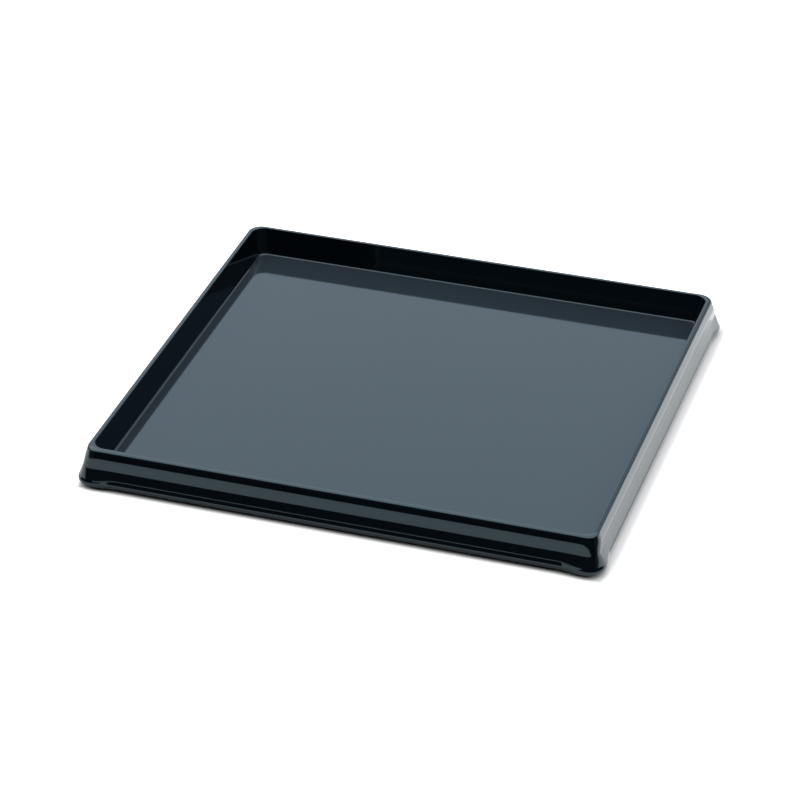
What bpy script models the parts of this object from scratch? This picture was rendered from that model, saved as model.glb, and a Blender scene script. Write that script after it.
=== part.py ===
"""Shallow rectangular serving tray, moulded in one piece.

The whole tray is one section carried round a rounded rectangle: a flat floor, a cove, a
leaning inner wall, a narrow rim rolled over into a flared outer skirt, an open channel
behind the skirt, and a foot ring that carries the tray.

Metres, +Z up, +X along the longer side. The origin is at the middle of the footprint,
on the surface that the tray stands on.
"""

import math

import bmesh
import bpy

# Overall size
WIDTH = 0.2828  # along X
DEPTH = 0.2648  # along Y
HEIGHT = 0.0225  # foot to top of rim

# Inside
INSIDE_DEPTH = 0.015  # top of rim to floor
WALL_LEAN = math.radians(14.6)  # from vertical
WALL_THICKNESS = 0.0022
FLOOR_THICKNESS = 0.0022

# Skirt, from the rim down: a shoulder, a steeper waist, a second flare and a rounded lip.
# Offsets are measured outwards from the rim's inner edge, drops down from the rim's top.
RIM_WIDTH = 0.00258  # where the rim's flat top would meet the shoulder
SHOULDER_FLARE = math.radians(18.2)  # from vertical
SHOULDER_DROP = 0.0053
WAIST_FLARE = math.radians(3.6)
WAIST_DROP = 0.0097
WAIST_SINK = 0.0006  # how much lower the waist ends at the corners
LIP_OFFSET = 0.0075  # where the lip's slope would meet the skirt's lower edge
LIP_SPREAD = 0.0014  # how much further out the lip is at the corners
LIP_FLARE = math.radians(19.5)
SKIRT_DROP = 0.0209
SKIRT_BACK_TOP = 0.0021  # offset of the skirt's hidden face at the channel's roof
SKIRT_BACK_FOOT = 0.0032  # and at its lower edge
CHANNEL_ROOF = 0.0056  # top of rim to the top of the channel behind the skirt

# Shallow step above the lip, which runs out before each corner
STEP_DROP = 0.0151
STEP_SINK = 0.0012  # how much lower the step's line lies where it has run out
STEP_DEPTH = 0.00097
STEP_FACE = 0.0005  # height of the step's own slanted face
STEP_RUN_OUT = 0.012  # length of each S-shaped end

# Foot ring, which carries on down from the wall
FOOT_THICKNESS = 0.0022
FOOT_LEAN = math.radians(3)

# Corner radii seen from above
RADIUS_FLOOR = 0.0055
RADIUS_RIM_INSIDE = 0.007
RADIUS_RIM_OUTSIDE = 0.007
RADIUS_SHOULDER = 0.0085
RADIUS_WAIST = 0.0053
RADIUS_LIP = 0.0095

# Length taken off each side of a corner of the section by its rounding
COVE_REACH = 0.0008
INSIDE_EDGE_REACH = 0.0003
SHOULDER_REACH = 0.00158
BEND_REACH = 0.0014
WAIST_REACH = 0.0007
STEP_REACH = 0.00035
SMALL_REACH = 0.0001
LIP_REACH = 0.0036
HIDDEN_REACH = 0.0003
FOOT_REACH = 0.0005
FOOT_ROOT_REACH = 0.0008

# How finely the shape is cut into faces
CORNER_SEGMENTS = 8
RUN_OUT_SEGMENTS = 4

PLASTIC_COLOUR = (0.006, 0.012, 0.018, 1)
PLASTIC_ROUGHNESS = 0.12
SHARP_ANGLE = math.radians(40)


def clear_scene():
    for obj in list(bpy.data.objects):
        bpy.data.objects.remove(obj, do_unlink=True)


def smooth_step(t):
    return t * t * (3 - 2 * t)


def blend(a, b, t):
    return tuple(p + (q - p) * t for p, q in zip(a, b))


def lip_offset(drop, step):
    """Offset of the lip's slope at a depth below the rim."""
    foot = LIP_OFFSET + LIP_SPREAD * (1 - step)
    return foot - (SKIRT_DROP - drop) * math.tan(LIP_FLARE)


def wall_back_offset(drop):
    """Offset of the hidden face of the wall, which the foot ring carries on."""
    return WALL_THICKNESS / math.cos(WALL_LEAN) - drop * math.tan(WALL_LEAN)


def skirt_corners(step):
    """The skirt's visible corners. step is 1 where the step is full and 0 where it has run out."""
    shoulder = RIM_WIDTH + SHOULDER_DROP * math.tan(SHOULDER_FLARE)
    waist_drop = WAIST_DROP + WAIST_SINK * (1 - step)
    waist = shoulder + (waist_drop - SHOULDER_DROP) * math.tan(WAIST_FLARE)
    step_drop = STEP_DROP + STEP_SINK * (1 - step)
    step_edge = lip_offset(step_drop, step) + STEP_DEPTH * step
    step_foot = step_drop + STEP_FACE
    return [
        (RIM_WIDTH, 0, RADIUS_RIM_OUTSIDE, SHOULDER_REACH, 8),
        (shoulder, SHOULDER_DROP, RADIUS_SHOULDER, BEND_REACH, 3),
        (waist, waist_drop, RADIUS_WAIST, WAIST_REACH, 3),
        (step_edge, step_drop, RADIUS_LIP, STEP_REACH * step + SMALL_REACH, 2),
        (lip_offset(step_foot, step), step_foot, RADIUS_LIP, SMALL_REACH, 1),
        (lip_offset(SKIRT_DROP, step), SKIRT_DROP, RADIUS_LIP, LIP_REACH, 8),
    ]


def section_corners(step):
    """The section's corners from the floor, over the rim, to the underside.

    Each is (offset, drop, corner radius from above, reach of the rounding, segments in it).
    """
    underside = INSIDE_DEPTH + FLOOR_THICKNESS
    floor_edge = -INSIDE_DEPTH * math.tan(WALL_LEAN)
    foot_outer = wall_back_offset(HEIGHT)
    foot_inner = foot_outer - FOOT_THICKNESS
    foot_root = foot_inner - (HEIGHT - underside) * math.tan(FOOT_LEAN)
    channel_wall = wall_back_offset(CHANNEL_ROOF)
    skirt_back_foot = SKIRT_BACK_FOOT + LIP_SPREAD * (1 - step)
    inside = [
        (floor_edge, INSIDE_DEPTH, RADIUS_FLOOR, COVE_REACH, 5),
        (0, 0, RADIUS_RIM_INSIDE, INSIDE_EDGE_REACH, 3),
    ]
    hidden = [
        (skirt_back_foot, SKIRT_DROP, RADIUS_LIP, HIDDEN_REACH, 2),
        (SKIRT_BACK_TOP, CHANNEL_ROOF, RADIUS_RIM_OUTSIDE, HIDDEN_REACH, 2),
        (channel_wall, CHANNEL_ROOF, RADIUS_RIM_OUTSIDE, HIDDEN_REACH, 2),
        (foot_outer, HEIGHT, RADIUS_FLOOR, FOOT_REACH, 3),
        (foot_inner, HEIGHT, RADIUS_FLOOR, FOOT_REACH, 3),
        (foot_root, underside, RADIUS_FLOOR, FOOT_ROOT_REACH, 3),
    ]
    return inside + skirt_corners(step) + hidden


def rounded_section(step):
    """Points (offset, drop, corner radius) of the section with its corners rounded to arcs."""
    corners = section_corners(step)
    floor_middle = (corners[0][0] - RADIUS_FLOOR, *corners[0][1:3])
    underside_middle = (corners[-1][0] - RADIUS_FLOOR, *corners[-1][1:3])
    places = [floor_middle] + [corner[:3] for corner in corners] + [underside_middle]
    points = []
    for before, corner, after in zip(places, corners, places[2:]):
        here, reach, segments = corner[:3], corner[3], corner[4]
        start = blend(here, before, reach / math.dist(here[:2], before[:2]))
        end = blend(here, after, reach / math.dist(here[:2], after[:2]))
        # A rational quadratic curve with this weight is an arc of a circle.
        weight = math.dist(start[:2], end[:2]) / (2 * reach)
        for k in range(segments + 1):
            t = k / segments
            shares = ((1 - t) ** 2, 2 * t * (1 - t) * weight, t**2)
            total = sum(shares)
            point = [
                sum(s * p for s, p in zip(shares, axis)) / total
                for axis in zip(start, here, end)
            ]
            points.append(point)
    return points


# The section's widest line is the tray's outside, so the rim's inner edge lies this far in.
REACH = max(point[0] for point in rounded_section(0))


def stations():
    """Places round the tray: (corner, angle, distance along the side, step), anticlockwise."""
    places = []
    for corner in range(4):
        for k in range(CORNER_SEGMENTS + 1):
            angle = math.radians(90) * (corner + k / CORNER_SEGMENTS)
            places.append((corner, angle, 0, 0))
        leaving = math.radians(90) * (corner + 1)
        run = [(k + 1) / RUN_OUT_SEGMENTS for k in range(RUN_OUT_SEGMENTS)]
        for share in run:
            places.append((corner, leaving, share * STEP_RUN_OUT, smooth_step(share)))
        for share in reversed(run):
            following = (corner + 1) % 4
            along = -share * STEP_RUN_OUT
            places.append((following, leaving, along, smooth_step(share)))
    return places


def place(point, station):
    """World position of a section point at one station round the tray."""
    offset, drop, radius = point
    corner, angle, along, _ = station
    side_x = 1 if corner in (0, 3) else -1
    side_y = 1 if corner in (0, 1) else -1
    centre_x = side_x * (WIDTH / 2 - REACH + offset - radius)
    centre_y = side_y * (DEPTH / 2 - REACH + offset - radius)
    x = centre_x + radius * math.cos(angle) - along * math.sin(angle)
    y = centre_y + radius * math.sin(angle) + along * math.cos(angle)
    return x, y, HEIGHT - drop


def make_plastic():
    material = bpy.data.materials.new("dark_plastic")
    material.use_nodes = True
    shader = material.node_tree.nodes["Principled BSDF"]
    shader.inputs["Base Color"].default_value = PLASTIC_COLOUR
    shader.inputs["Roughness"].default_value = PLASTIC_ROUGHNESS
    shader.inputs["Metallic"].default_value = 0
    return material


def make_tray():
    shape = bmesh.new()
    rings = []
    for station in stations():
        points = rounded_section(station[3])
        rings.append([shape.verts.new(place(point, station)) for point in points])
    for here, following in zip(rings, rings[1:] + rings[:1]):
        for k in range(len(here) - 1):
            shape.faces.new((here[k], here[k + 1], following[k + 1], following[k]))
    shape.faces.new([ring[0] for ring in rings])
    shape.faces.new([ring[-1] for ring in reversed(rings)])
    bmesh.ops.recalc_face_normals(shape, faces=shape.faces)

    mesh = bpy.data.meshes.new("tray")
    shape.to_mesh(mesh)
    shape.free()
    mesh.shade_smooth()
    mesh.set_sharp_from_angle(angle=SHARP_ANGLE)
    mesh.materials.append(make_plastic())
    tray = bpy.data.objects.new("tray", mesh)
    bpy.context.scene.collection.objects.link(tray)
    return tray


clear_scene()
make_tray()
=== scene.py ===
# %% [markdown]
# # An empty airline meal tray
#
# This lesson builds the looks of a shallow serving tray: glossy, almost black navy plastic,
# moulded in one piece. The solid tray, with its real size and weight, comes ready from CAD as
# a fixed frame. It is faceted, because a physics engine likes few faces. Gloss is less
# forgiving: a mirror-like surface shows every facet. So the lesson makes a finer tray in the
# same space, gives it a plastic with a moulder's flaws, and lights it as a studio would.
#
# The first step loads that frame and keeps its box, which the fine tray is fitted to.

import math

import bmesh
import bpy
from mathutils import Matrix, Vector


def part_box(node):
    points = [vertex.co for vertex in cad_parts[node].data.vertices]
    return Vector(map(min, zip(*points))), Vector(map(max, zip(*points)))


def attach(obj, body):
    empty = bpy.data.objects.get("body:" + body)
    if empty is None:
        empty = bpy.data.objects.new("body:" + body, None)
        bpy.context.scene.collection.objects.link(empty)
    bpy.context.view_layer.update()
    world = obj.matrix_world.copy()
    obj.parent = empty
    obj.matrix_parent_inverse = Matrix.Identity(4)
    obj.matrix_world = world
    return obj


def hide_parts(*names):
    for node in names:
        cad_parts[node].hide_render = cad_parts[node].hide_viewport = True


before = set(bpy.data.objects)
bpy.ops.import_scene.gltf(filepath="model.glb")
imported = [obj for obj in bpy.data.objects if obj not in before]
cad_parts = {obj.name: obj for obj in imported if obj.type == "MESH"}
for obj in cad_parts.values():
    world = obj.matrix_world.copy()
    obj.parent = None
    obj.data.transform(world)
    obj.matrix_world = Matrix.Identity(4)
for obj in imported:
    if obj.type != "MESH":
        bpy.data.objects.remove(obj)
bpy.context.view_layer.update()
low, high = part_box("tray")
WIDTH, DEPTH, HEIGHT = high - low
print(f"solid tray: {WIDTH * 1000:.1f} x {DEPTH * 1000:.1f} x {HEIGHT * 1000:.1f} mm")

# %% [markdown]
# ## A shorthand for nodes
#
# Geometry, materials and light are all built from nodes here. A node tree written out link by
# link hides the idea behind it, so one small class wraps a socket and lets Python's own
# operators add the Math nodes. Then a formula reads as a formula. Every other kind of node
# comes from a single method, which takes its type, its settings and what goes into it.

# %% One class for sockets
class Wire:
    """What comes out of a node's socket, ready to be used in an expression."""

    def __init__(self, tree, socket=None):
        self.tree = tree
        self.socket = socket

    def node(self, kind, settings=None, sockets=None, output=0):
        """Adds a node: its type, its settings, then its sockets' values or links."""
        made = self.tree.nodes.new(kind)
        for name, value in (settings or {}).items():
            setattr(made, name, value)
        for name, value in (sockets or {}).items():
            if isinstance(value, Wire):
                self.tree.links.new(value.socket, made.inputs[name])
            else:
                made.inputs[name].default_value = value
        return Wire(self.tree, made.outputs[output])

    def math(self, operation, other=0):
        return self.node("ShaderNodeMath", {"operation": operation}, {0: self, 1: other})

    def __add__(self, other):
        return self.math("ADD", other)

    def __sub__(self, other):
        return self.math("SUBTRACT", other)

    def __rsub__(self, other):
        return self.node("ShaderNodeMath", {"operation": "SUBTRACT"}, {0: other, 1: self})

    def __mul__(self, other):
        return self.math("MULTIPLY", other)

    def __truediv__(self, other):
        return self.math("DIVIDE", other)

    __radd__ = __add__
    __rmul__ = __mul__

    def axes(self):
        """The three numbers of a vector."""
        parts = self.node("ShaderNodeSeparateXYZ", None, {0: self})
        outputs = parts.socket.node.outputs
        return [Wire(self.tree, outputs[k]) for k in range(3)]

    def ramp(self, start, end):
        """0 up to start, 1 from end on, and a smooth rise between them."""
        sockets = {"Value": self, "From Min": start, "From Max": end}
        return self.node("ShaderNodeMapRange", {"interpolation_type": "SMOOTHSTEP"}, sockets)

    def clamped(self):
        return self.node("ShaderNodeClamp", None, {"Value": self})


print("nodes can be written as sums")

# %% [markdown]
# ## The tray's section
#
# Cut a moulded tray in two and the cut shows how it is made: a flat floor, a cove, a wall that
# leans out so that the part leaves its mould, a rim rolled over into a skirt, and behind the
# skirt an open channel and the foot ring that the tray stands on. Everything else about the
# tray is this one line carried round a rounded rectangle.
#
# The line is kept as a list of corners. A corner is measured outwards from the rim's inner
# edge and down from the rim's top. It also has the radius that the tray's own corners have at
# that place, seen from above, because the floor turns more tightly than the skirt does.

# %% Sizes of the section
INSIDE_DEPTH = 0.015
WALL_LEAN = math.radians(14.6)
WALL_THICKNESS = 0.0022
FLOOR_THICKNESS = 0.0022
RIM_WIDTH = 0.00258
SHOULDER_FLARE = math.radians(18.2)
SHOULDER_DROP = 0.0053
WAIST_FLARE = math.radians(3.6)
WAIST_DROP = 0.0097
LIP_OFFSET = 0.0075
LIP_SPREAD = 0.0014
LIP_FLARE = math.radians(19.5)
SKIRT_DROP = 0.0209
SKIRT_BACK_TOP = 0.0021
SKIRT_BACK_FOOT = 0.0032
CHANNEL_ROOF = 0.0056
FOOT_THICKNESS = 0.0022
FOOT_LEAN = math.radians(3)
RADIUS_FLOOR = 0.0055
RADIUS_RIM_INSIDE = 0.007
RADIUS_RIM_OUTSIDE = 0.007
RADIUS_SHOULDER = 0.0085
RADIUS_WAIST = 0.0053
RADIUS_LIP = 0.0095
print(f"the skirt hangs {SKIRT_DROP * 1000:.1f} mm below the rim")

# %% [markdown]
# A shallow step runs along the skirt above its lip and fades out before each corner. Two
# versions of the section hold the two ends of that change, one with the step and one without.
# Both have the same number of points, so any place between them is a blend of the two.
#
# The skirt isn't a plain slope. From the side it is a slow S: a shoulder, a steeper waist and
# a second flare down to the lip. It stiffens the edge, and on gloss it shows as bands, because
# each stretch mirrors another part of the room.

# %% Corners of the skirt
WAIST_SINK = 0.0006
STEP_DROP = 0.0151
STEP_SINK = 0.0012
STEP_DEPTH = 0.00097
STEP_FACE = 0.0005
SHOULDER_REACH = 0.00158
BEND_REACH = 0.0014
WAIST_REACH = 0.0007
STEP_REACH = 0.00038
SMALL_REACH = 0.0001
LIP_REACH = 0.0036


def lip_offset(drop, gone):
    """How far the lip's slope is outside the rim's inner edge."""
    foot = LIP_OFFSET + LIP_SPREAD * gone
    return foot - (SKIRT_DROP - drop) * math.tan(LIP_FLARE)


def wall_back_offset(drop):
    """The same for the hidden face of the wall, which the foot ring carries on."""
    return WALL_THICKNESS / math.cos(WALL_LEAN) - drop * math.tan(WALL_LEAN)


def skirt_corners(stepped):
    """Each corner: offset, depth, corner radius, and how far its rounding reaches."""
    gone = 0 if stepped else 1
    shoulder = RIM_WIDTH + SHOULDER_DROP * math.tan(SHOULDER_FLARE)
    waist_drop = WAIST_DROP + WAIST_SINK * gone
    waist = shoulder + (waist_drop - SHOULDER_DROP) * math.tan(WAIST_FLARE)
    step_drop = STEP_DROP + STEP_SINK * gone
    step_edge = lip_offset(step_drop, gone) + STEP_DEPTH * (1 - gone)
    step_foot = step_drop + STEP_FACE
    return [
        (RIM_WIDTH, 0, RADIUS_RIM_OUTSIDE, SHOULDER_REACH),
        (shoulder, SHOULDER_DROP, RADIUS_SHOULDER, BEND_REACH),
        (waist, waist_drop, RADIUS_WAIST, WAIST_REACH),
        (step_edge, step_drop, RADIUS_LIP, SMALL_REACH if gone else STEP_REACH),
        (lip_offset(step_foot, gone), step_foot, RADIUS_LIP, SMALL_REACH),
        (lip_offset(SKIRT_DROP, gone), SKIRT_DROP, RADIUS_LIP, LIP_REACH),
    ]


# %% [markdown]
# The other corners are the same with and without the step. They are the cove and the rim's
# inner edge on one side, and the hidden channel, foot ring and underside on the other.

# %% All corners of the section
COVE_REACH = 0.0008
INSIDE_EDGE_REACH = 0.0003
HIDDEN_REACH = 0.0003
FOOT_REACH = 0.0005
FOOT_ROOT_REACH = 0.0008


def section_corners(stepped):
    """The section's corners from the floor, over the rim, to the underside."""
    underside = INSIDE_DEPTH + FLOOR_THICKNESS
    foot_outer = wall_back_offset(HEIGHT)
    foot_inner = foot_outer - FOOT_THICKNESS
    foot_root = foot_inner - (HEIGHT - underside) * math.tan(FOOT_LEAN)
    skirt_back_foot = SKIRT_BACK_FOOT + (0 if stepped else LIP_SPREAD)
    inside = [
        (-INSIDE_DEPTH * math.tan(WALL_LEAN), INSIDE_DEPTH, RADIUS_FLOOR, COVE_REACH),
        (0, 0, RADIUS_RIM_INSIDE, INSIDE_EDGE_REACH),
    ]
    hidden = [
        (skirt_back_foot, SKIRT_DROP, RADIUS_LIP, HIDDEN_REACH),
        (SKIRT_BACK_TOP, CHANNEL_ROOF, RADIUS_RIM_OUTSIDE, HIDDEN_REACH),
        (wall_back_offset(CHANNEL_ROOF), CHANNEL_ROOF, RADIUS_RIM_OUTSIDE, HIDDEN_REACH),
        (foot_outer, HEIGHT, RADIUS_FLOOR, FOOT_REACH),
        (foot_inner, HEIGHT, RADIUS_FLOOR, FOOT_REACH),
        (foot_root, underside, RADIUS_FLOOR, FOOT_ROOT_REACH),
    ]
    return inside + skirt_corners(stepped) + hidden


print(f"the section turns {len(section_corners(True))} corners")

# %% [markdown]
# Each sharp corner becomes an arc: a rational curve with the right weight is a true arc, even
# where the corner hardly bends. Smooth shading needs one thing more. Blender averages the
# directions of the faces that meet at a point, so an arc next to a wide flat face would bend
# the light on all of that face. A holding point close to each end of an arc keeps the bend
# where it belongs.

# %% Round the corners
ARC_SEGMENTS = 12
HOLDING_GAP = 0.0001


def between(a, b, t):
    return tuple(p + (q - p) * t for p, q in zip(a, b))


def arc(before, corner, after, reach):
    """Points of the arc that rounds a corner, with a holding point at each end of it."""
    run_in = math.dist(corner[:2], before[:2])
    run_out = math.dist(corner[:2], after[:2])
    start = between(corner, before, reach / run_in)
    end = between(corner, after, reach / run_out)
    weight = math.dist(start[:2], end[:2]) / (2 * reach)
    hold = min(HOLDING_GAP, reach / 4)
    points = [between(corner, before, (reach + hold) / run_in)]
    for k in range(ARC_SEGMENTS + 1):
        t = k / ARC_SEGMENTS
        shares = ((1 - t) ** 2, 2 * t * (1 - t) * weight, t**2)
        total = sum(shares)
        place = [sum(s * p for s, p in zip(shares, axis)) for axis in zip(start, corner, end)]
        points.append(tuple(p / total for p in place))
    points.append(between(corner, after, (reach + hold) / run_out))
    return points


def rounded_section(stepped):
    """The section's points from the edge of the floor round to the edge of the underside."""
    corners = section_corners(stepped)
    first = (corners[0][0] - RADIUS_FLOOR, *corners[0][1:3])
    last = (corners[-1][0] - RADIUS_FLOOR, *corners[-1][1:3])
    places = [first] + [corner[:3] for corner in corners] + [last]
    points = [first]
    for k, corner in enumerate(corners):
        points += arc(places[k], corner[:3], places[k + 2], corner[3])
    return points + [last]


REACH = max(point[0] for point in rounded_section(False))
HALF_WIDTH = WIDTH / 2 - REACH
HALF_DEPTH = DEPTH / 2 - REACH
print(f"the skirt reaches {REACH * 1000:.2f} mm past the rim's inner edge")
print(f"inside the rim: {HALF_WIDTH * 2000:.1f} x {HALF_DEPTH * 2000:.1f} mm")

# %% [markdown]
# ## Carry the section round the tray
#
# Blender's Curve to Mesh would do this if every line of the tray ran parallel to the next.
# Here the corner radius changes from line to line, so Geometry Nodes lay a grid instead: one
# way it counts the points of the section, the other way it counts stations round the tray.
# Set Position then moves each grid point to where a formula says.
#
# The two section lines come in as meshes whose coordinates aren't places but the three
# numbers of a section point: offset, depth and corner radius. Rings across the floor and the
# underside are added at their ends.

# %% Section lines as meshes
FLOOR_RINGS = 5


def inward_rings(edge):
    """Points from the middle of a flat floor out to its edge."""
    middle = (-HALF_DEPTH, edge[1], 0)
    return [between(middle, edge, k / FLOOR_RINGS) for k in range(FLOOR_RINGS)]


def line_object(name, section):
    """An object whose mesh holds one section line, rings included."""
    points = inward_rings(section[0]) + section + inward_rings(section[-1])[::-1]
    mesh = bpy.data.meshes.new(name)
    mesh.from_pydata(points, [(k, k + 1) for k in range(len(points) - 1)], [])
    line = bpy.data.objects.new(name, mesh)
    bpy.context.scene.collection.objects.link(line)
    return line


plain_line = line_object("section_plain", rounded_section(False))
stepped_line = line_object("section_stepped", rounded_section(True))
print(f"two lines of {len(plain_line.data.vertices)} points")

# %% [markdown]
# A quarter of the way round has three stretches: the corner's arc, a short run in which the
# step fades in, and, past the long straight side, another in which it fades out again. A
# station's number gives the corner it belongs to, the direction that it faces, how far along
# the side it is, and how much of the step it has.

# %% Formula for a station
def station_of(number, corner_steps, run_steps):
    """Corner number, quarter turns faced, share of the run, and 1 past the side's middle."""
    in_quarter = corner_steps + 1 + 2 * run_steps
    quarter = ((number + 0.5) / in_quarter).math("FLOOR")
    place = number - quarter * in_quarter
    turned = (place / corner_steps).clamped()
    leaving = ((place - corner_steps) / run_steps).clamped()
    past_middle = place.math("GREATER_THAN", corner_steps + run_steps + 0.5)
    approaching = 1 - (place - corner_steps - run_steps - 1) / run_steps
    share = leaving * (1 - past_middle) + approaching * past_middle
    return quarter + past_middle, quarter + turned, share, past_middle


def corner_side(corner, phase):
    """+1 or -1: the side of the middle that a corner lies on."""
    angle = (corner + 0.5 - phase) * (math.pi / 2)
    return angle.math("COSINE").math("SIGN")


print("a station is four numbers")

# %% [markdown]
# The floor needs no separate cap. Its rings shrink to a line along the middle of the tray,
# where the front half and the back half meet, and Merge by Distance closes it there. The run
# along each side shrinks with them, or it would overshoot the shorter sides.

# %% Build the node tree
CORNER_STEPS = 18
RUN_STEPS = 12
WELD = 1e-6
SIZES = ("Half width", "Half depth", "Height", "Run-out length")
COUNTS = ("Corner steps", "Run-out steps")


def new_tree():
    tree = bpy.data.node_groups.new("section_round_tray", "GeometryNodeTree")
    add = tree.interface.new_socket
    add("Plain section", in_out="INPUT", socket_type="NodeSocketGeometry")
    add("Stepped section", in_out="INPUT", socket_type="NodeSocketObject")
    for name in SIZES:
        add(name, in_out="INPUT", socket_type="NodeSocketFloat")
    for name in COUNTS:
        add(name, in_out="INPUT", socket_type="NodeSocketInt")
    add("Plastic", in_out="INPUT", socket_type="NodeSocketMaterial")
    add("Tray", in_out="OUTPUT", socket_type="NodeSocketGeometry")
    return tree


def section_point(wire, line, number):
    """Offset, depth and corner radius of a section point, by its number."""
    position = wire.node("GeometryNodeInputPosition")
    settings = {"data_type": "FLOAT_VECTOR", "domain": "POINT"}
    sockets = {"Geometry": line, "Value": position, "Index": number}
    return wire.node("GeometryNodeSampleIndex", settings, sockets).axes()


def tray_tree():
    tree = new_tree()
    wire = Wire(tree)
    given = tree.nodes.new("NodeGroupInput")
    inputs = {socket.name: Wire(tree, socket) for socket in given.outputs}
    plain = inputs["Plain section"]
    about = wire.node("GeometryNodeObjectInfo", None, {"Object": inputs["Stepped section"]})
    stepped = Wire(tree, about.socket.node.outputs["Geometry"])
    corner_steps, run_steps = (inputs[name] for name in COUNTS)

    in_section = wire.node("GeometryNodeAttributeDomainSize", {"component": "MESH"}, {0: plain})
    stations = (corner_steps + 1 + run_steps * 2) * 4 + 1
    counts = {"Vertices X": in_section, "Vertices Y": stations}
    grid = wire.node("GeometryNodeMeshGrid", None, counts)
    index = wire.node("GeometryNodeInputIndex")
    ring = ((index + 0.5) / stations).math("FLOOR")
    corner, faced, share, past = station_of(index - ring * stations, corner_steps, run_steps)

    offset, depth, radius = section_point(wire, plain, ring)
    deep_offset, deep_depth, _ = section_point(wire, stepped, ring)
    fade = share.ramp(0, 1)
    offset = offset + (deep_offset - offset) * fade
    depth = depth + (deep_depth - depth) * fade

    reach_x = inputs["Half width"] + offset - radius
    reach_y = inputs["Half depth"] + offset - radius
    angle = faced * (math.pi / 2)
    cosine, sine = angle.math("COSINE"), angle.math("SINE")
    side_length = reach_x * sine.math("ABSOLUTE") + reach_y * cosine.math("ABSOLUTE")
    run = side_length.math("MINIMUM", inputs["Run-out length"])
    along = run * share * (1 - past * 2)
    x = reach_x * corner_side(corner, 0) + radius * cosine - along * sine
    y = reach_y * corner_side(corner, 1) + radius * sine + along * cosine
    place = wire.node("ShaderNodeCombineXYZ", None, {0: x, 1: y, 2: inputs["Height"] - depth})

    moved = wire.node("GeometryNodeSetPosition", None, {"Geometry": grid, "Position": place})
    closed = wire.node("GeometryNodeMergeByDistance", None, {0: moved, "Distance": WELD})
    smooth = wire.node("GeometryNodeSetShadeSmooth", None, {0: closed})
    real = wire.node("GeometryNodeRealizeInstances", None, {0: smooth})
    sockets = {"Geometry": real, "Material": inputs["Plastic"]}
    painted = wire.node("GeometryNodeSetMaterial", None, sockets)
    result = tree.nodes.new("NodeGroupOutput")
    tree.links.new(painted.socket, result.inputs["Tray"])
    return tree


sweep = tray_tree()
print(f"the tree has {len(sweep.nodes)} nodes")

# %% [markdown]
# ## Run the tree once
#
# The tree is a modifier on the plain line. Its inputs are set before Blender evaluates it for
# the first time. The evaluated result is then copied into a plain mesh, and both lines are
# thrown away: what is left is an ordinary object whose place is all in its points.

# %% Make the fine tray
RUN_OUT = 0.012


def set_input(modifier, name, value):
    """Sets an input of a Geometry Nodes modifier by the name that the tree gives it."""
    for item in modifier.node_group.interface.items_tree:
        if item.name == name and item.in_out == "INPUT":
            modifier[item.identifier] = value


def plain_copy(source, name):
    """The evaluated mesh of an object, as a new object without modifiers."""
    bpy.context.view_layer.update()
    graph = bpy.context.evaluated_depsgraph_get()
    mesh = bpy.data.meshes.new_from_object(source.evaluated_get(graph))
    mesh.name = name
    copy = bpy.data.objects.new(name, mesh)
    bpy.context.scene.collection.objects.link(copy)
    return copy


plastic = bpy.data.materials.new("dark_plastic")
modifier = plain_line.modifiers.new("sweep", "NODES")
modifier.node_group = sweep
values = {
    "Stepped section": stepped_line,
    "Half width": HALF_WIDTH,
    "Half depth": HALF_DEPTH,
    "Height": HEIGHT,
    "Run-out length": RUN_OUT,
    "Corner steps": CORNER_STEPS,
    "Run-out steps": RUN_STEPS,
    "Plastic": plastic,
}
for name, value in values.items():
    set_input(modifier, name, value)
tray = plain_copy(plain_line, "tray_shell")
for line in (plain_line, stepped_line):
    bpy.data.objects.remove(line)
print(f"{tray.name}: {len(tray.data.polygons)} faces")

# %% [markdown]
# A sweep can come out inside out without showing it. The sum of the volumes that the faces
# span towards the origin tells: it is the tray's volume where the faces point outwards, and
# minus that where they don't. An edge that belongs to one face alone would be a leak.

# %% Check the mesh
shape = bmesh.new()
shape.from_mesh(tray.data)
bmesh.ops.recalc_face_normals(shape, faces=shape.faces)
volume = shape.calc_volume(signed=True)
leaks = sum(not edge.is_manifold for edge in shape.edges)
shape.to_mesh(tray.data)
shape.free()
print(f"volume {volume * 1e6:.1f} cubic centimetres, {leaks} open edges")
corners = [Vector(corner) for corner in tray.bound_box]
print("box in mm:", [round(v * 1000, 2) for v in (*min(corners), *max(corners))])

# %% [markdown]
# ## The plastic
#
# Trays like this are moulded from ABS or a blend of it, coloured right through and polished
# by a mirror-finished mould. The colour is nearly black with a breath of navy. Almost all
# that the eye sees is the room reflected in it, so the finish lives in small things. What
# lies flat and faces up is dulled first: dishes and cloths leave hairline scratches that
# scatter a little light. It also gets a lighter colour, which is partly that wear and partly
# painted light, as the floor and rim top catch more light than the walls. Walls and skirt
# stay deep black. The hidden underside is left satin by the mould.
#
# What differs from place to place is worked out from the object's own coordinates, in metres.

# %% Masks for the plastic
DEEP_BLACK = (0.0004, 0.0012, 0.0019, 1)
# The lighter colour of faces that point up: painted light, since the floor and rim top catch
# more light than the walls, plus wear.
PAINTED_TOP_LIGHT_AND_WEAR = (0.007, 0.0102, 0.014, 1)
RIM_WEAR_FROM = HEIGHT - 0.0012
RIM_WEAR_FULL = HEIGHT - 0.0004

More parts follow.
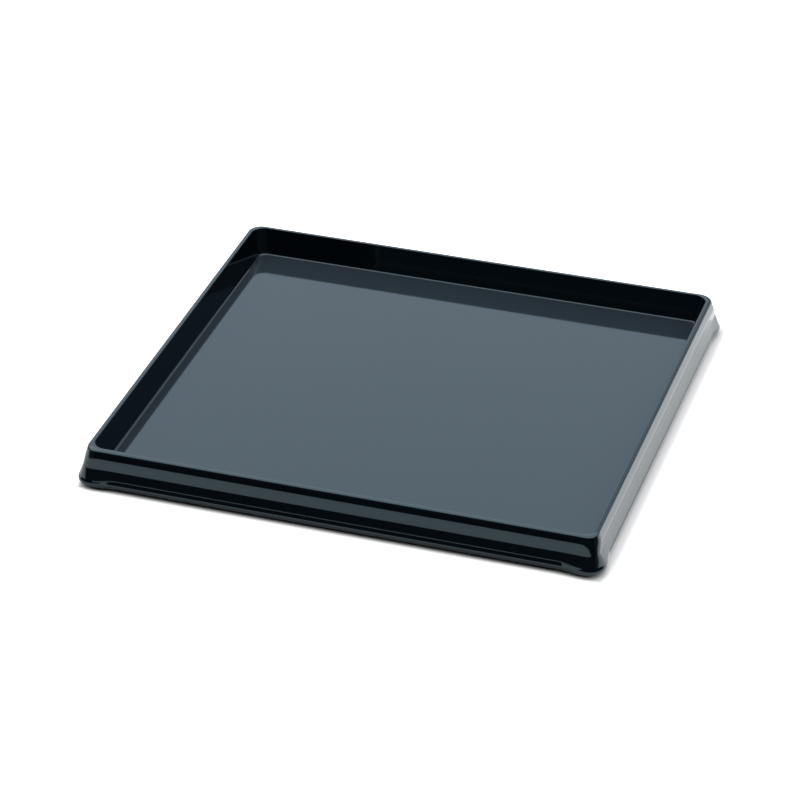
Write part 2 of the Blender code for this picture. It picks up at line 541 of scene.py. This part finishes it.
plastic.use_nodes = True
shader = plastic.node_tree.nodes["Principled BSDF"]
wire = Wire(plastic.node_tree)
coordinates = wire.node("ShaderNodeTexCoord", output="Object")
surface = wire.node("ShaderNodeNewGeometry", output="Normal")
height = coordinates.axes()[2]
facing_up = surface.axes()[2]
flat_top = facing_up.ramp(0.9, 0.995)
rim_edge = height.ramp(RIM_WEAR_FROM, RIM_WEAR_FULL) * (1 - flat_top)
underside = (facing_up * -1).ramp(-0.02, 0.1)
print("masks: flat tops, rim edges, underside")

# %% [markdown]
# Wear is made of noise. Stretched far more one way than the other, noise turns into fine
# parallel lines, and a few directions of them on top of one another are hairline scratches.
# Coarse noise gives the cloudy wear of years of wiping.

# %% Patterns of wear
ALONG = 14
ACROSS = 1100
CLOUDS = 16


def noise(scale, detail=2, place=coordinates):
    """Noise between 0 and 1, with so many lumps to the metre."""
    sockets = {"Vector": place, "Scale": scale, "Detail": detail, "Roughness": 0.5}
    return wire.node("ShaderNodeTexNoise", None, sockets)


def hairlines(turn):
    """Thin parallel scratches, turned about the vertical."""
    sockets = {"Vector": coordinates, "Rotation": (0, 0, turn), "Scale": (ALONG, ACROSS, ALONG)}
    stretched = wire.node("ShaderNodeMapping", None, sockets)
    return noise(1, 1, stretched).ramp(0.66, 0.74)


scratches = (hairlines(0.4) + hairlines(1.3) + hairlines(2.5)).clamped()
cloud = noise(CLOUDS, 3)
print("hairlines in three directions")

# %% [markdown]
# The patterns now go to the shader. The gloss has a tint of its own: straight on, this plastic
# mirrors blue a little better than red, but at a grazing angle the mirror is white. A very
# weak relief with waves a few millimetres long is what moulders call orange peel. The
# underside has a finer and deeper grain instead.

# %% Colour, gloss and relief
MIRROR_ROUGHNESS = 0.04
SATIN_ROUGHNESS = 0.28
PEEL_WAVES = 260
PEEL_HEIGHT = 0.00001
GRAIN_WAVES = 1500
GRAIN_HEIGHT = 0.00004
REFRACTIVE_INDEX = 1.5
GLOSS_TINT = (0.62, 0.87, 1, 1)


def mixed(factor, first, second):
    """A colour between two others."""
    made = wire.tree.nodes.new("ShaderNodeMix")
    made.data_type = "RGBA"
    for name, value in {"Factor": factor, "A": first, "B": second}.items():
        socket = next(s for s in made.inputs if s.name == name and s.enabled)
        if isinstance(value, Wire):
            wire.tree.links.new(value.socket, socket)
        else:
            socket.default_value = value
    return Wire(wire.tree, next(s for s in made.outputs if s.enabled))


# Painted light and wear: all that faces up gets the lighter colour, and the clouds and
# scratches vary it.
top_light_and_wear = flat_top * (0.85 + cloud * 0.25 + scratches * 0.2)
colour = mixed(top_light_and_wear.clamped(), DEEP_BLACK, PAINTED_TOP_LIGHT_AND_WEAR)
wear = flat_top * (0.012 + scratches * 0.02 + cloud * 0.02) + rim_edge * 0.03
gloss = MIRROR_ROUGHNESS + wear + underside * (SATIN_ROUGHNESS + cloud * 0.08)
peel = noise(PEEL_WAVES) * (1 - underside) * PEEL_HEIGHT
grain = noise(GRAIN_WAVES) * underside * GRAIN_HEIGHT
bump = {"Strength": 0.35, "Distance": 1.0, "Height": peel + grain}
relief = wire.node("ShaderNodeBump", None, bump)
for name, value in (("Base Color", colour), ("Roughness", gloss), ("Normal", relief)):
    plastic.node_tree.links.new(value.socket, shader.inputs[name])
shader.inputs["IOR"].default_value = REFRACTIVE_INDEX
shader.inputs["Specular Tint"].default_value = GLOSS_TINT
print("plastic finished")

# %% [markdown]
# ## Hand the fine tray over to the frame
#
# The fine tray stands for the solid one, which stays behind it for collision. It rides on the
# only body that a piece without joints has.

# %% Ride on the frame
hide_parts("tray")
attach(tray, "root")
print("the fine tray replaces the solid one")

# %% [markdown]
# ## The table
#
# A studio table is white and lit until only the deepest contact shadow shows. Gloss shows the
# table all the same, as a mirror image in the skirt. So the paper has two painted tones, which
# no real paper has: this is a stage trick. One tone is seen straight on: a painted contact
# shadow, grey close to the tray, where a real tent gives less light, and soon white. The other
# is seen only in the mirror of the skirt, and is painted light and shade: greyer in front than
# on the side that faces the lamps. There, a thin strip of painted shade keeps the skirt's waist
# from shining out between the stretches above and below it. The mirrored paper ends a hand's
# width past the tray, on the left and in front on the right, in painted dark, so that the two
# near corners mirror the dark room beyond it.
#
# A pair called a tone holds the brightness in front and on the side of the lamps. Other pairs
# are soft edges, in metres: where the change begins and where it is complete.

# %% A white table
TABLE_SIDE = 60
LAMP_SIDE = (-0.02, 0.04)
# The tones and strips below paint shadow and light on the paper.
CONTACT_TONE = (0.34, 0.48)
SHADOW_ENDS_IN_FRONT = (-0.004, 0.002)
SHADOW_ENDS_AT_LAMPS = (0, 0.009)
NEAR_TONE = (0.36, 1)
FAR_TONE = (0.64, 1)
NEAR_TO_FAR = (0, 0.01)
STRIP_BEGINS = (0.002, 0.004)
STRIP_ENDS = (0.006, 0.0085)
STRIP_DIMMING = 0.34
LEFT_END = (0.09, 0.16)
RIGHT_END = (0.08, 0.16)
FRONT_HALF = (0, 0.06)
BEYOND_DIMMING = 0.94


def square(name, side):
    """A flat square on the ground, about the middle."""
    half = side / 2
    mesh = bpy.data.meshes.new(name)
    corners = [(-half, -half, 0), (half, -half, 0), (half, half, 0), (-half, half, 0)]
    mesh.from_pydata(corners, [], [(0, 1, 2, 3)])
    made = bpy.data.objects.new(name, mesh)
    bpy.context.scene.collection.objects.link(made)
    return made


white = bpy.data.materials.new("matt_white")
white.use_nodes = True
paint = white.node_tree.nodes["Principled BSDF"]
paper = Wire(white.node_tree)
table_x, table_y, _ = paper.node("ShaderNodeTexCoord", output="Object").axes()
past_side = table_x.math("ABSOLUTE") - WIDTH / 2
past_end = table_y.math("ABSOLUTE") - DEPTH / 2
away = past_side.math("MAXIMUM", past_end)
towards_lamps = (table_x + table_y).ramp(*LAMP_SIDE)


def round_the_tray(in_front, at_lamps):
    """A value that changes from the front to the side of the lamps."""
    return in_front + towards_lamps * (at_lamps - in_front)


# Painted contact shadow, seen straight on.
contact = round_the_tray(*CONTACT_TONE)
edges = [round_the_tray(*pair) for pair in zip(SHADOW_ENDS_IN_FRONT, SHADOW_ENDS_AT_LAMPS)]
direct = contact + (1 - contact) * away.ramp(*edges)

# Painted light and shade, seen only in the mirror of the skirt: a strip of painted shade, and
# painted dark past the tray.
near = round_the_tray(*NEAR_TONE)
far = round_the_tray(*FAR_TONE)
strip = away.ramp(*STRIP_BEGINS) * (1 - away.ramp(*STRIP_ENDS)) * towards_lamps
past_left = table_x * -1 - WIDTH / 2
past_right = table_x - WIDTH / 2
in_front = (table_y * -1).ramp(*FRONT_HALF)
beyond = past_left.ramp(*LEFT_END) + past_right.ramp(*RIGHT_END) * in_front
on_paper = near + (far - near) * away.ramp(*NEAR_TO_FAR) - strip * STRIP_DIMMING
mirrored = on_paper * (1 - beyond * BEYOND_DIMMING)

straight_on = paper.node("ShaderNodeLightPath", output="Is Camera Ray")
tone = mirrored + (direct - mirrored) * straight_on
grey = paper.node("ShaderNodeCombineColor", None, {0: tone, 1: tone, 2: tone})
white.node_tree.links.new(grey.socket, paint.inputs["Base Color"])
paint.inputs["Roughness"].default_value = 0.9
paint.inputs["Specular IOR Level"].default_value = 0
table = square("table", TABLE_SIDE)
table.data.materials.append(white)
print("table ready")

# %% [markdown]
# ## The light
#
# A light tent: a wide ceiling of diffuser, brightest in the middle and weaker towards the
# back, a low backdrop below it with a dark gap between the two, and hardly any light in
# front, where the camera looks in. A seam in the weaker part of the ceiling lets less light
# through. Whoever looks past the tray sees none of this, only white.
#
# The ceiling is flat, so places on it are counted in ceiling heights from the point overhead.
# Places on the backdrop are counted by how steeply one looks up at them. As before, a pair is
# a soft edge.

# %% Paint the light tent on the sky
CEILING = (3.2, 3.2, 3.2, 1)
BACK = (1.28, 1.46, 1.6, 1)
BACKDROP = (1.3, 1.3, 1.3, 1)
GAP = (0.08, 0.14, 0.2, 1)
ROOM = (0.05, 0.06, 0.07, 1)
WHITE = (1, 1, 1, 1)
BACKGROUND_STRENGTH = 1.5

CEILING_SIDES = (2.4, 2.8)
CEILING_FRONT = (-0.95, -0.8)
CEILING_BACK = (2.1, 2.3)
BRIGHT_PART_ENDS = (0.7, 1.3)
SEAM_LEFT = (-0.16, -0.04)
SEAM_RIGHT = (0.15, 0.25)
SEAM_DIMMING = 0.72
LOWEST = 0.02
HORIZON = (0, 0.05)
BEHIND_THE_TRAY = (0.2, 0.5)
BACKDROP_TOP = (0.2, 0.26)
GAP_TOP = (0.36, 0.42)

world = bpy.data.worlds.new("light_tent")
bpy.context.scene.world = world
world.use_nodes = True
sky = Wire(world.node_tree)
direction = sky.node("ShaderNodeTexCoord", output="Generated")
across, backwards, up = direction.axes()
rise = up.math("MAXIMUM", LOWEST)
ceiling_x = across / rise
ceiling_y = backwards / rise
sides = 1 - ceiling_x.math("ABSOLUTE").ramp(*CEILING_SIDES)
front = ceiling_y.ramp(*CEILING_FRONT)
back = 1 - ceiling_y.ramp(*CEILING_BACK)
bright = 1 - ceiling_y.ramp(*BRIGHT_PART_ENDS)
above = up.ramp(*HORIZON)
diffuser = above * sides * front * back
seam = ceiling_x.ramp(*SEAM_LEFT) * (1 - ceiling_x.ramp(*SEAM_RIGHT))
ceiling = diffuser * bright
backlight = diffuser * (1 - bright) * (1 - seam * SEAM_DIMMING)
behind = above * backwards.ramp(*BEHIND_THE_TRAY)
low_back = behind * (1 - up.ramp(*BACKDROP_TOP))
gap = behind * (1 - up.ramp(*GAP_TOP))


def lamp(colour, strength):
    """Light of one colour, as strong as a mask or a number says."""
    return sky.node("ShaderNodeBackground", None, {"Color": colour, "Strength": strength})


def together(first, second):
    """The sum of two lights."""
    return sky.node("ShaderNodeAddShader", None, {0: first, 1: second})


overhead = together(lamp(CEILING, ceiling), lamp(BACK, backlight))
distant = together(lamp(BACKDROP, low_back), lamp(GAP, gap))
light = together(together(overhead, distant), lamp(ROOM, above))
background = lamp(WHITE, BACKGROUND_STRENGTH)
straight_on = sky.node("ShaderNodeLightPath", output="Is Camera Ray")
final = sky.node("ShaderNodeMixShader", None, {"Fac": straight_on, 1: light, 2: background})
output = next(node for node in world.node_tree.nodes if node.type == "OUTPUT_WORLD")
world.node_tree.links.new(final.socket, output.inputs["Surface"])
bpy.context.scene.view_settings.view_transform = "Standard"
print("light tent ready")

# %% [markdown]
# ## The camera
#
# The camera stands in front, a little to the right, and looks down on the rim at about thirty
# degrees. A long lens from well away keeps opposite sides of the tray nearly parallel.

# %% Set up the camera
AZIMUTH = math.radians(17.844)
ELEVATION = math.radians(31.52)
DISTANCE = 1.7473
TARGET = Vector((0.00424, -0.03228, HEIGHT))
LENS = 149.12
SENSOR_WIDTH = 36

back_way = Vector((
    math.sin(AZIMUTH) * math.cos(ELEVATION),
    -math.cos(AZIMUTH) * math.cos(ELEVATION),
    math.sin(ELEVATION),
))
camera_data = bpy.data.cameras.new("camera")
camera_data.lens = LENS
camera_data.sensor_width = SENSOR_WIDTH
camera = bpy.data.objects.new("camera", camera_data)
camera.location = TARGET + back_way * DISTANCE
camera.rotation_mode = "QUATERNION"
camera.rotation_quaternion = (-back_way).to_track_quat("-Z", "Y")
bpy.context.scene.collection.objects.link(camera)
bpy.context.scene.camera = camera
print(f"camera {DISTANCE:.2f} m away, {math.degrees(ELEVATION):.1f} degrees up")
